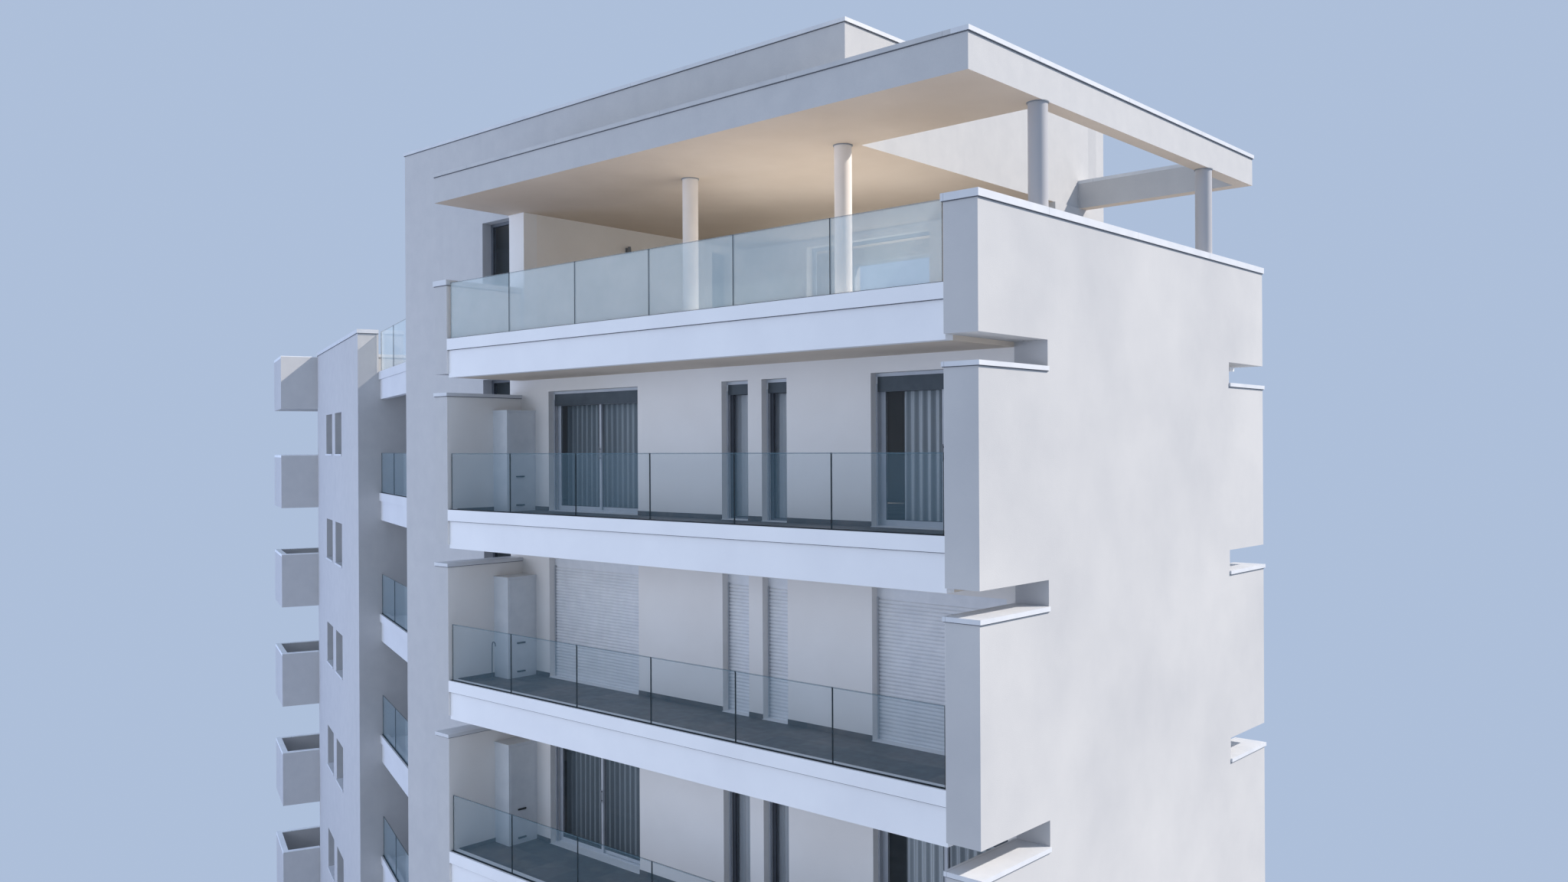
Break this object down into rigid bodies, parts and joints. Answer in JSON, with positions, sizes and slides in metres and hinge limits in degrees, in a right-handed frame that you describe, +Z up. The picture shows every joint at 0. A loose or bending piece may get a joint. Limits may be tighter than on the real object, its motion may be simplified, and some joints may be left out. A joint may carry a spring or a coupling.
{
  "type": "apartment block",
  "caption": "Modern white apartment block with glass-railed balconies, blind gable, penthouse under an open flat roof, and an angled side wing.",
  "frame": {"origin": "ground level, under the middle of the main block", "axes": "+X along the front towards the gable, +Y from the front to the rear, +Z up"},
  "size_m": [30.7976, 13.4065, 25.69],
  "materials": {
    "white_render": "fine mineral render, matt greyish white",
    "smooth_render": "smooth painted render, matt white",
    "soffit_paint": "painted board, matt warm white",
    "column_paint": "painted concrete, satin white",
    "concrete": "plain concrete",
    "coping_metal": "folded sheet, satin light grey",
    "stoneware_tiles": "dark grey-brown tiles with pale joints",
    "roof_membrane": "grey roofing sheet",
    "rail_glass": "clear laminated glass, green edge",
    "window_glass": "lightly reflecting window glass",
    "light_frames": "light grey powder coat",
    "dark_frames": "dark grey powder coat",
    "shutter_paint": "white lacquered slats",
    "curtain_cloth": "light grey translucent cloth",
    "cabinet_paint": "off-white lacquer",
    "dark_handles": "black"
  },
  "bodies": {
    "root": {"ground_slab": "concrete", "floor_slabs": "concrete", "wing_ground_slab": "concrete", "wing_floor_slabs": "concrete", "balcony_slabs": "concrete", "front_wall": "smooth_render", "gable_wall": "white_render", "left_wall": "white_render", "rear_wall": "white_render", "bay_walls": "white_render", "left_fins": "white_render", "penthouse_walls": "smooth_render", "upper_walls": "white_render", "wing_window_wall": "white_render", "wing_return_wall": "white_render", "wing_loggia_wall": "white_render", "wing_outer_walls": "white_render", "balcony_beams": "smooth_render", "rear_balconies": "smooth_render", "wing_loggias": "smooth_render", "wing_box_balconies": "white_render", "roof_slab": "white_render", "balcony_soffits": "soffit_paint", "columns": "column_paint", "fin_copings": "coping_metal", "parapet_copings": "coping_metal", "roof_copings": "coping_metal", "wing_copings": "coping_metal", "balcony_paving": "stoneware_tiles", "roof_deck": "roof_membrane", "balcony_glass": "rail_glass", "rear_balcony_glass": "rail_glass", "wing_rail_glass": "rail_glass", "front_glass": "window_glass", "rear_glass": "window_glass", "wing_glass": "window_glass", "door_frames": "light_frames", "slit_window_frames": "dark_frames", "rear_frames": "light_frames", "wing_frames": "light_frames", "shutter_boxes": "shutter_paint", "roller_shutters": "shutter_paint", "curtains": "curtain_cloth", "cabinets": "cabinet_paint", "cabinet_handles": "dark_handles"}
  },
  "joints": []
}
